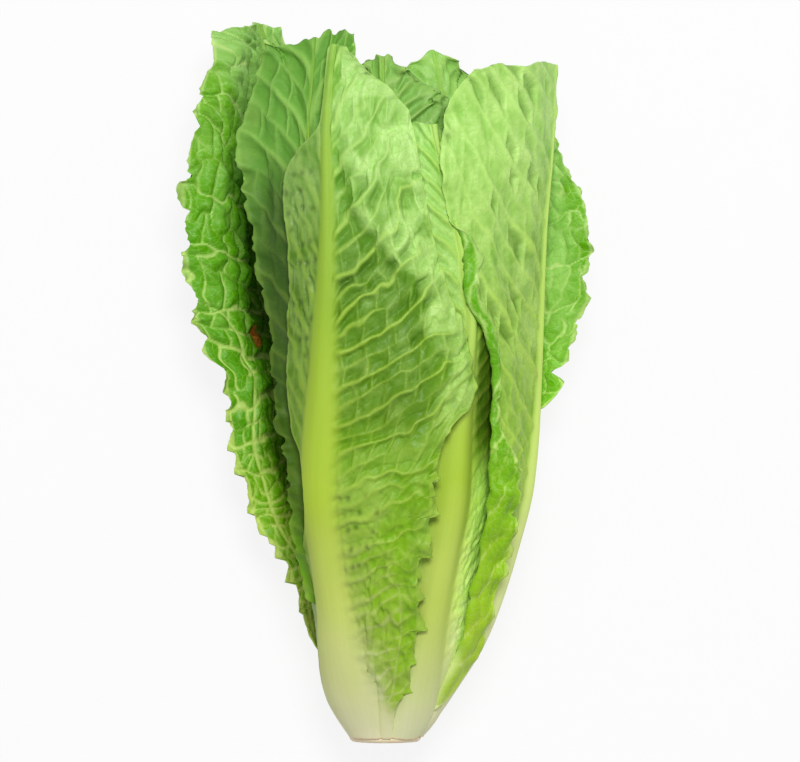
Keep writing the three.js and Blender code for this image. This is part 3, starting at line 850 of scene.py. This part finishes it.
# Rings of inner leaves, from the outermost in: where they leave the stem and how far out they lie.
SECOND_RING = dict(foot=14, shell=profile(
    (14, 0.54), (26, 0.66), (40, 0.75), (60, 0.8), (110, 0.84), (260, 0.84)
))
THIRD_RING = dict(foot=26, shell=profile((26, 0.42), (45, 0.57), (60, 0.62), (110, 0.69), (260, 0.69)))
FOURTH_RING = dict(
    foot=38, shell=profile((38, 0.34), (50, 0.41), (60, 0.44), (110, 0.53), (260, 0.53)), rows=90,
    columns=(24, 24, 3),
)
FIFTH_RING = dict(
    foot=50, shell=profile((50, 0.25), (60, 0.275), (110, 0.37), (250, 0.37)), spread=70, tuck=3.5, rows=90,
    columns=(22, 22, 3),
)
HEART_RING = dict(
    foot=66, shell=profile((66, 0.14), (85, 0.19), (110, 0.2), (240, 0.2)), spread=85, tuck=2, rows=80,
    columns=(16, 16, 3),
)


def ring_leaf(seed, angle, tip, foot, shell, turn=4, spread=72, tuck=4, **more):
    """An inner leaf: its left edge tucks under its neighbour's right edge."""
    widest = 0.45 * foot + 0.55 * tip
    rib = profile((foot, angle), (tip - 60, angle + 0.4 * turn), (tip, angle + turn))
    opening = profile((foot, 0.62), (foot + 40, 0.82), (widest, 1), (tip - 28, 0.8), (tip, 0.1))
    tucked = profile((foot, 0), (foot + 20, 0.2 * tuck), (95, tuck), (290, tuck))
    frilled = dict(ruffle=profile((180, 10), (250, 26)), pitch=7, teeth=profile((150, 1.0), (220, 2.2)))
    made = dict(
        left=half_spec(lambda y: rib(y) - spread * opening(y), sink=tucked, **frilled),
        right=half_spec(lambda y: rib(y) + spread * opening(y), **frilled),
        shell=shell, inset=level(0), thickness=profile((foot, 2), (foot + 30, 1.4), (foot + 60, 0.8)),
        rib_width=profile(
            (foot, 6), (60, 5), (120, 4), (170, 2), (205, 0.8), (235, 0.35), (270, 0.25)
        ),
        crown=dict(notch=3.6, pitch=7.0),
        rib_height=profile((foot, 0.7), (foot + 16, 2.1), (120, 2.1), (200, 0.9), (270, 0.2)),
        petiole=profile(
            (0, 34), (20, 24), (36, 14), (50, 9), (105, 5), (130, 3.5), (170, 2), (205, 0.6), (235, 0.2),
            (270, 0.1)
        ),
        drift=1.0, dome=profile((20, 0.4), (90, 0.6), (200, 1.0), (240, 1.8)),
        valley=profile((100, 0.4), (220, 1.0)), crumple=profile((40, 0.2), (180, 0.6), (235, 2.4)),
        lines=profile((150, 0.6), (220, 1.0)), finer=(tip - 60, tip + 20, 3.0), rows=110,
        columns=(28, 28, 4),
    )
    return leaf_spec(seed, foot, tip, rib, **{**made, **more})


INNER_LEAVES = {
    "second_leaf_left": ring_leaf(
        6100,
        -40,
        271,
        left=half_spec(
            profile(
                (14, -85), (45, -68), (66, -70), (83, -64), (100, -58), (160, -55), (182, -59), (234, -66),
                (262, -58), (271, -50)
            ),
            flare=profile((40, 0), (66, 1), (83, 2), (100, 3), (160, 4), (182, 5), (234, 6), (271, 3)),
            hold=profile(
                (51, -30), (66, -34), (95, -37), (114, -39), (137, -44), (160, -43.5), (182, -49),
                (197, -51), (214, -54.6), (234, -57), (242, -53), (269, -45)
            ),
            climb=level(48), spacing=level(12), wander=0.35, cell=level(11),
            teeth=profile((50, 1.8), (130, 1.8), (160, 1.0)), lobe=11.0, pitch=7,
            relief=profile((190, 0.55), (225, 0.8)),
            ruffle=profile((50, 30), (130, 30), (160, 16), (271, 20)),
            swell=lambda s, t: folds(6401, 1.6, 40, 24, -0.6)(s, t)
            - 4.0 * bell((t - 16 - (s - 180) * 0.08) / 6) * smooth(90, 130, s) * smooth(262, 235, s),
        ),
        right=half_spec(
            profile((14, -8), (60, -10), (110, -13), (245, -14), (271, -17)),
            climb=level(52), spacing=level(13), relief=level(0.7),
        ),
        frost=lambda s, t: 0.5
        - 0.42 * smooth(240, 190, s)
        - 0.5 * smooth(205, 225, s) * smooth(-22, -12, t),
        # painted shade: darker on the left half from about 12 mm out, up to about 230 mm, along its valley
        shade=lambda s, t: 1 - 0.58 * smooth(-26 - (s - 180) * 0.08, -12, t) * smooth(232, 205, s),
        bold=profile((200, 1.1), (228, 1.4)), finer=(0, 300, 0.0), crumple=level(1.3),
        lines=profile((205, 0.12), (228, 0.9)), rows=300, columns=(70, 44, 5),
        **SECOND_RING,
    ),
    "second_leaf_back": ring_leaf(
        6500,
        190,
        266,
        turn=2, spread=45, tuck=1, inset=profile((14, 0.9), (50, 1.2), (90, 3.2), (266, 3.2)),
        **SECOND_RING,
    ),
    "third_leaf_front": ring_leaf(
        # painted shade: darker all over, lying deep among the outer leaves
        7000, -6, 262, shade=lambda s, t: 0.8 + 0 * s, rows=180, columns=(44, 44, 4), **THIRD_RING
    ),
    "third_leaf_left": ring_leaf(7100, -112, 250, **THIRD_RING),
    "third_leaf_back_right": ring_leaf(7200, 128, 262, turn=-14, **THIRD_RING),
    "fourth_leaf_front_left": ring_leaf(7300, -48, 252, **FOURTH_RING),
    "fourth_leaf_right": ring_leaf(7400, 72, 267, turn=-36, **FOURTH_RING),
    "fourth_leaf_back_left": ring_leaf(7500, -168, 246, **FOURTH_RING),
    "fifth_leaf_front": ring_leaf(7600, 30, 246, **FIFTH_RING),
    "fifth_leaf_back_left": ring_leaf(7700, -92, 236, **FIFTH_RING),
    "fifth_leaf_back_right": ring_leaf(7800, 149, 240, **FIFTH_RING),
    "heart_leaf_left": ring_leaf(7900, -70, 226, **HEART_RING),
    "heart_leaf_right": ring_leaf(8000, 110, 218, **HEART_RING),
}


# ---- materials ----


class Nodes:
    """The nodes of a material or a world, made and linked one after another."""

    def __init__(self, owner):
        self.owner = owner
        owner.use_nodes = True
        self.tree = owner.node_tree
        self.tree.nodes.clear()

    def add(self, kind, inputs=None, **settings):
        node = self.tree.nodes.new("ShaderNode" + kind)
        for key, value in settings.items():
            setattr(node, key, value)
        for key, value in (inputs or {}).items():
            socket = node.inputs[key]
            if isinstance(value, bpy.types.NodeSocket):
                self.tree.links.new(value, socket)
            else:
                socket.default_value = value
        return node

    def field(self, name, output="Fac"):
        return self.add("Attribute", attribute_name=name).outputs[output]

    def math(self, operation, a, b=0.0, c=0.0, clamp=False):
        return self.add("Math", {0: a, 1: b, 2: c}, operation=operation, use_clamp=clamp).outputs[0]

    def span(self, value, low, high, to_low=0.0, to_high=1.0):
        inputs = {"Value": value, "From Min": low, "From Max": high, "To Min": to_low, "To Max": to_high}
        return self.add("MapRange", inputs, interpolation_type="SMOOTHSTEP").outputs[0]

    def ramp(self, value, *stops):
        node = self.add("ValToRGB", {0: value})
        elements = node.color_ramp.elements
        while len(elements) < len(stops):
            elements.new(0.5)
        for element, (position, colour) in zip(elements, stops):
            element.position = position
            element.color = (*colour, 1)
        return node.outputs[0]

    def blend(self, amount, a, b, mode="MIX"):
        colour = lambda c: (*c, 1) if isinstance(c, tuple) else c
        inputs = {0: amount, 6: colour(a), 7: colour(b)}
        return self.add("Mix", inputs, data_type="RGBA", blend_type=mode).outputs[2]

    def noise(self, vector, scale, detail, roughness=0.5, output="Fac"):
        inputs = {"Vector": vector, "Scale": scale, "Detail": detail, "Roughness": roughness}
        return self.add("TexNoise", inputs).outputs[output]

    def principled(self, surface):
        """Close the material with one plain surface."""
        shader = self.add("BsdfPrincipled", surface).outputs[0]
        self.add("OutputMaterial", {"Surface": shader})
        return self.owner


DEEP = (
    (0.05, (0.5, 0.58, 0.22)),
    (0.12, (0.34, 0.52, 0.05)),
    (0.2, (0.3, 0.54, 0.018)),
    (0.3, (0.24, 0.49, 0.008)),
    (0.4, (0.19, 0.41, 0.008)),
    (0.5, (0.14, 0.31, 0.01)),
    (0.65, (0.12, 0.28, 0.014)),
    (0.85, (0.2, 0.45, 0.05)),
)
HIGH = (
    (0.05, (0.64, 0.68, 0.36)),
    (0.14, (0.5, 0.58, 0.18)),
    (0.22, (0.42, 0.56, 0.11)),
    (0.32, (0.37, 0.55, 0.08)),
    (0.46, (0.38, 0.6, 0.1)),
    (0.65, (0.45, 0.7, 0.19)),
    (0.85, (0.5, 0.77, 0.25)),
)
FRONT = (
    (0.04, (0.6, 0.7, 0.24)),
    (0.1, (0.46, 0.64, 0.05)),
    (0.2, (0.38, 0.6, 0.02)),
    (0.34, (0.24, 0.5, 0.004)),
    (0.5, (0.12, 0.39, 0.002)),
    (0.75, (0.14, 0.42, 0.004)),
    (0.95, (0.22, 0.5, 0.03)),
)
FRONT_HIGH = (
    (0.04, (0.55, 0.68, 0.25)),
    (0.2, (0.34, 0.6, 0.03)),
    (0.5, (0.3, 0.6, 0.06)),
    (0.75, (0.36, 0.66, 0.15)),
    (0.95, (0.4, 0.68, 0.2)),
)
VEIN = (
    (0.05, (0.66, 0.7, 0.36)),
    (0.2, (0.47, 0.6, 0.14)),
    (0.35, (0.4, 0.6, 0.07)),
    (0.6, (0.38, 0.6, 0.06)),
    (0.85, (0.42, 0.7, 0.15)),
)
FRONT_VEIN = (
    (0.05, (0.68, 0.74, 0.34)),
    (0.3, (0.68, 0.8, 0.22)),
    (0.6, (0.56, 0.76, 0.22)),
    (0.9, (0.56, 0.77, 0.28)),
)
RIB = (
    (0.015, (0.82, 0.8, 0.52)),
    (0.1, (0.68, 0.72, 0.3)),
    (0.2, (0.6, 0.7, 0.15)),
    (0.36, (0.44, 0.6, 0.05)),
    (0.6, (0.29, 0.46, 0.035)),
    (0.85, (0.3, 0.5, 0.06)),
)
PALE_RIB = (
    (0.015, (0.82, 0.8, 0.52)),
    (0.1, (0.82, 0.86, 0.47)),
    (0.2, (0.85, 0.93, 0.4)),
    (0.36, (0.68, 0.84, 0.23)),
    (0.6, (0.5, 0.7, 0.14)),
    (0.85, (0.52, 0.74, 0.18)),
)
LEAF_TONES = dict(
    deep=DEEP, high=HIGH, front=FRONT, front_high=FRONT_HIGH, vein=VEIN, front_vein=FRONT_VEIN, rib=RIB
)


def tinted(stops, *tint):
    return tuple((at, tuple(min(1.0, c * k) for c, k in zip(colour, tint))) for at, colour in stops)


def leaf_grain(n):
    """Noise on the leaf itself: mottling, fine grain, streaks along it and a lace of the finest veins."""
    spot = n.field("leaf", "Vector")
    mottle = n.noise(spot, 0.13, 5.0, 0.62)
    grain = n.noise(spot, 0.9, 3.0, 0.55)
    lengthwise = n.add("VectorMath", {0: spot, 1: (0.02, 0.6, 1.0)}, operation="MULTIPLY").outputs[0]
    streak = n.noise(lengthwise, 1.0, 1.5)
    swim = n.noise(spot, 0.35, 1.0, output="Color")
    warped = n.add("VectorMath", {0: swim, 1: (2.2, 2.2, 0.0), 2: spot}, operation="MULTIPLY_ADD").outputs[0]
    cells = {"Vector": warped, "Scale": 0.34, "Randomness": 0.9}
    lace = n.add("TexVoronoi", cells, feature="DISTANCE_TO_EDGE", voronoi_dimensions="2D").outputs["Distance"]
    return mottle, grain, streak, lace


def blade_colour(n, tones, face, frosted, lace, lacy):
    """The blade's colour, waxy where frosted, with its finest veins, painted shade in its hollows, and its
    veins' colour.
    """
    back = n.blend(frosted, tones["deep"], tones["high"])
    fore = n.blend(frosted, tones["front"], tones["front_high"])
    blade = n.blend(face, back, fore)
    lines = n.blend(face, tones["vein"], tones["front_vein"])
    fine_lines = n.blend(frosted, lines, n.blend(1.0, blade, (0.58, 0.78, 0.36), "MULTIPLY"))
    lace_line = n.span(lace, 0.015, 0.09, 1.0, 0.0)
    laced = n.math("MAXIMUM", n.span(frosted, 0.1, 0.6, 0.05, 0.5), n.math("MULTIPLY", face, lacy))
    blade = n.blend(n.math("MULTIPLY", lace_line, laced), blade, fine_lines)
    # painted shade in the puckered middles of the cells, partly the blade's own deeper green
    deeper = n.blend(1.0, blade, (0.62, 0.8, 0.4), "MULTIPLY")
    hollow_shade = n.math("MULTIPLY", n.field("pucker"), n.span(frosted, 0.0, 1.0, 0.4, 0.1))
    return n.blend(hollow_shade, blade, deeper), lines


def leaf_material(name, lacy=0.32, matte=0.0, **own_tones):
    """One leaf's look. Its tones are the common ones, apart from those of its own."""
    n = Nodes(bpy.data.materials.new(name))
    growth, face = n.field("growth"), n.field("face")
    tones = {key: n.ramp(growth, *stops) for key, stops in {**LEAF_TONES, **own_tones}.items()}
    mottle, grain, streak, lace = leaf_grain(n)
    frosted = n.math("ADD", n.field("frost"), n.span(mottle, 0.3, 0.7, -0.22, 0.22), clamp=True)
    blade, lines = blade_colour(n, tones, face, frosted, lace, lacy)
    frosted_back = n.math("MULTIPLY", frosted, n.math("SUBTRACT", 1.0, face))
    vein = n.math("MULTIPLY", n.field("vein"), n.span(frosted_back, 0.0, 1.0, 0.85, 0.5))
    colour = n.blend(vein, blade, lines)
    colour = n.blend(n.math("MULTIPLY", n.field("edge"), 0.55), colour, lines)
    # painted shade from the shade field, and painted light where it is above 1
    colour = n.blend(1.0, colour, n.field("shade"), "MULTIPLY")
    streaked = n.blend(1.0, tones["rib"], (0.84, 0.92, 0.6), "MULTIPLY")
    ribs = n.blend(n.span(streak, 0.35, 0.65, 0.0, 0.22), tones["rib"], streaked)
    rib_here = n.math("MULTIPLY", n.field("rib"), n.span(growth, 0.8, 0.95, 0.95, 0.5))
    colour = n.blend(rib_here, colour, ribs)
    scar_tone = n.ramp(grain, (0.35, (0.2, 0.06, 0.01)), (0.62, (0.62, 0.22, 0.03)))
    colour = n.blend(n.math("MULTIPLY", n.field("scar"), face), colour, scar_tone)
    cut_tone = n.ramp(grain, (0.36, (0.85, 0.5, 0.28)), (0.58, (0.95, 0.8, 0.56)))
    colour = n.blend(n.field("cut"), colour, cut_tone)

    height = n.math("MULTIPLY_ADD", lace, 0.6, n.math("MULTIPLY", grain, 0.16))
    height = n.math("MULTIPLY", height, n.math("SUBTRACT", 1.0, rib_here))
    height = n.math("MULTIPLY_ADD", streak, 0.06, height)
    bump = n.add("Bump", {"Height": height, "Strength": 0.6, "Distance": 0.0006}).outputs[0]
    gloss = n.math("MULTIPLY_ADD", rib_here, 0.2, n.span(grain, 0.3, 0.7, 0.37 + matte, 0.5 + matte))
    waxy = {"Specular IOR Level": 0.28, "IOR": 1.42}
    return n.principled({"Base Color": colour, "Roughness": gloss, "Normal": bump, **waxy})


outer_look = leaf_material("outer_leaf_green")
bright_look = leaf_material(
    "right_leaf_green",
    deep=tinted(DEEP, 1.35, 1.35, 1.6),
    high=tinted(HIGH[:4], 1.05, 1.02, 1.5) + tinted(HIGH[4:], 0.98, 1.02, 1.0),
    vein=tinted(VEIN, 0.98, 1.0, 0.8),
    rib=tinted(RIB[:4] + PALE_RIB[4:], 0.94, 0.98, 0.9),
)
pale_look = leaf_material(
    "pale_rib_green",
    lacy=0.2,
    deep=tinted(DEEP, 1.2, 1.2, 1.3),
    high=tinted(HIGH, 1.1, 1.06, 0.98),
    vein=tinted(VEIN, 1.16, 1.14, 1.3),
    rib=PALE_RIB,
)
deep_look = leaf_material(
    "lobed_leaf_green",
    lacy=0.2,
    front=tinted(FRONT, 0.84, 0.92, 0.9),
    front_high=tinted(FRONT_HIGH, 0.78, 0.86, 0.7),
    front_vein=tinted(FRONT_VEIN, 1.02, 1.0, 0.9),
)
dull_look = leaf_material(
    "left_leaf_green",
    matte=0.14,
    deep=tinted(DEEP, 0.7, 0.78, 0.9),
    high=tinted(HIGH, 0.48, 0.52, 0.32),
    vein=tinted(VEIN, 0.62, 0.72, 0.6),
)
inner_look = leaf_material(
    "inner_leaf_green",
    deep=tinted(DEEP, 1.2, 1.2, 1.4),
    high=tinted(HIGH, 0.8, 0.88, 0.8),
    rib=tinted(RIB, 1.1, 1.1, 1.3),
)
LOOKS = {
    "outer_leaf_front_left": outer_look,
    "outer_leaf_front_right": bright_look,
    "outer_leaf_right": pale_look,
    "outer_leaf_back_right": outer_look,
    "outer_leaf_back_left": deep_look,
    "second_leaf_left": dull_look,
}


# ---- the stem ----


def stem_material():
    n = Nodes(bpy.data.materials.new("stem_white"))
    spot = n.add("TexCoord").outputs["Object"]
    patch = n.noise(spot, 160.0, 4.0)
    fibre = n.noise(spot, 900.0, 2.0)
    flesh = n.ramp(patch, (0.3, (0.86, 0.74, 0.46)), (0.7, (0.92, 0.83, 0.58)))
    browned = n.ramp(fibre, (0.3, (0.66, 0.4, 0.22)), (0.7, (0.84, 0.64, 0.42)))
    colour = n.blend(n.field("browned"), flesh, browned)
    bump = n.add("Bump", {"Height": fibre, "Strength": 0.4, "Distance": 0.0004}).outputs[0]
    gloss = n.span(patch, 0.3, 0.7, 0.35, 0.6)
    return n.principled({"Base Color": colour, "Roughness": gloss, "Normal": bump})


def stem_piece():
    """The short stem, with its cut face domed, ridged and browned at the rim."""
    sides, seed = 120, 9000
    rings = [(0.0, r) for r in np.linspace(0.4, 12.2, 22)]
    rings += [(0.3, 12.8), (0.9, 13.5), (1.6, 13.9), (2.0, 13.9), (2.05, 11.6)]
    rings += [(y, float(STEM_RADIUS(np.array(y)))) for y in np.linspace(4, 70.5, 40)]
    y, radius = (np.array(v)[:, None] for v in zip(*rings))
    turn = np.linspace(0, 360, sides, endpoint=False)[None, :]
    lumps = noise(3 * np.cos(turn * DEGREE), 3 * np.sin(turn * DEGREE), seed)
    on_face = smooth(0.5, 0.0, y)
    specks = noise(radius * np.cos(turn * DEGREE), radius * np.sin(turn * DEGREE), seed + 2)
    grooves = noise(radius / 1.1, 0 * radius, seed + 1) * 0.16 + 0.1 * specks
    deep = np.maximum(y + on_face * (0.28 + grooves) + 0 * turn, 0.02)
    points = place(turn + 0 * y, deep, radius * (1 + 0.006 * lumps * smooth(9, 13, radius)))
    rows = points.shape[0]
    at = np.arange(rows * sides).reshape(rows, sides)
    after = np.roll(at, -1, 1)
    quads = np.stack([at[:-1], after[:-1], after[1:], at[1:]], -1).reshape(-1, 4)
    near = place(np.zeros(1), np.array([0.3]), np.zeros(1))
    far = place(np.zeros(1), np.array([71.0]), np.zeros(1))
    first, last = rows * sides, rows * sides + 1
    caps = np.concatenate(
        [
            np.stack([np.full(sides, first), after[0], at[0]], -1),
            np.stack([at[-1], after[-1], np.full(sides, last)], -1),
        ]
    )
    browned = smooth(11.2, 13, radius + 1.2 * lumps) * smooth(1.6, 0.2, y) * (0.75 + 0.25 * lumps)
    ring_mark = 0.35 * bell((radius - 7.4 - lumps) / 0.6) * on_face
    fields = {"browned": np.r_[np.clip(browned + ring_mark, 0, 1).ravel(), 0.1, 0.0]}
    points = np.concatenate([points.reshape(-1, 3), near, far])
    return build_mesh("stem", points, quads, caps, fields)


# ---- put the head together ----

stem = stem_piece()
stem.data.materials.append(stem_material())
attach(stem, "root")
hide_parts("stem_core")

for node, spec in {**OUTER_LEAVES, **INNER_LEAVES}.items():
    piece = leaf_piece(node + "_blade", spec)
    piece.data.materials.append(LOOKS.get(node, inner_look))
    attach(piece, "root")
    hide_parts(node)

# ---- floor, light and camera ----

WHITE = (1, 1, 1, 1)
FLOOR_REACH = 6.0
FLOOR_GLOW = 0.86  # how much of the floor's look is plain white, where it is seen directly
SKY_LIGHT = 0.43
LAMP_PLACE, LAMP_AIM, LAMP_SIZE, LAMP_POWER = (0.1, 0.42, 1.42), (0, 0, 0.05), 0.42, 14.4
VIEW_MIDDLE = (5.77, 140.0, 75.0)  # in head millimetres
VIEW_HEIGHT, VIEW_WIDTH = 2000, 304.4  # the camera's height over it, and the width seen there, in mm
SENSOR = 36


def seen_directly(n):
    """1 for a ray that shows the background: from the camera, a reflection or through glass."""
    path = n.add("LightPath").outputs
    both = n.math("MAXIMUM", path["Is Camera Ray"], path["Is Glossy Ray"])
    return n.math("MAXIMUM", both, path["Is Transmission Ray"])


def floor_material():
    n = Nodes(bpy.data.materials.new("floor_white"))
    spot = n.add("TexCoord").outputs["Object"]
    grain = n.noise(spot, 60.0, 2.0)
    tone = n.ramp(grain, (0.0, (0.8, 0.8, 0.8)), (1.0, (0.84, 0.84, 0.84)))
    matte = n.add("BsdfDiffuse", {"Color": tone}).outputs[0]
    glow = n.add("Emission", {"Color": WHITE, "Strength": 1.0}).outputs[0]
    amount = n.math("MULTIPLY", seen_directly(n), FLOOR_GLOW)
    n.add("OutputMaterial", {"Surface": n.add("MixShader", {0: amount, 1: matte, 2: glow}).outputs[0]})
    return n.owner


def floor_piece():
    mesh = bpy.data.meshes.new("floor")
    corners = [(x * FLOOR_REACH, y * FLOOR_REACH, 0) for x, y in ((-1, -1), (1, -1), (1, 1), (-1, 1))]
    mesh.from_pydata(corners, [], [(0, 1, 2, 3)])
    mesh.materials.append(floor_material())
    return placed("floor", mesh)


def white_world():
    """A sky that lights softly and looks white."""
    world = bpy.data.worlds.new("studio")
    n = Nodes(world)
    lit = n.add("Background", {"Color": WHITE, "Strength": SKY_LIGHT}).outputs[0]
    shown = n.add("Background", {"Color": WHITE, "Strength": 1.0}).outputs[0]
    n.add("OutputWorld", {"Surface": n.add("MixShader", {0: seen_directly(n), 1: lit, 2: shown}).outputs[0]})
    bpy.context.scene.world = world


def soft_lamp():
    lamp = bpy.data.lights.new("key", "AREA")
    lamp.shape = "DISK"
    lamp.size = LAMP_SIZE
    lamp.energy = LAMP_POWER
    thing = placed("key", lamp)
    thing.location = LAMP_PLACE
    direction = np.array(LAMP_AIM) - np.array(LAMP_PLACE)
    thing.rotation_mode = "QUATERNION"
    thing.rotation_quaternion = Vector(direction).to_track_quat("-Z", "Y")


def camera_above():
    """A camera that looks straight down, as the photo shows the head."""
    data = bpy.data.cameras.new("camera")
    camera = placed("camera", data)
    middle = np.array(VIEW_MIDDLE) + SHIFT
    camera.location = (middle[0] * MM, middle[1] * MM, (middle[2] + VIEW_HEIGHT) * MM)
    data.sensor_width = SENSOR
    data.lens = SENSOR * VIEW_HEIGHT / VIEW_WIDTH
    data.clip_end = 20
    bpy.context.scene.camera = camera


floor_piece()
white_world()
soft_lamp()
camera_above()
bpy.context.scene.view_settings.view_transform = "Standard"
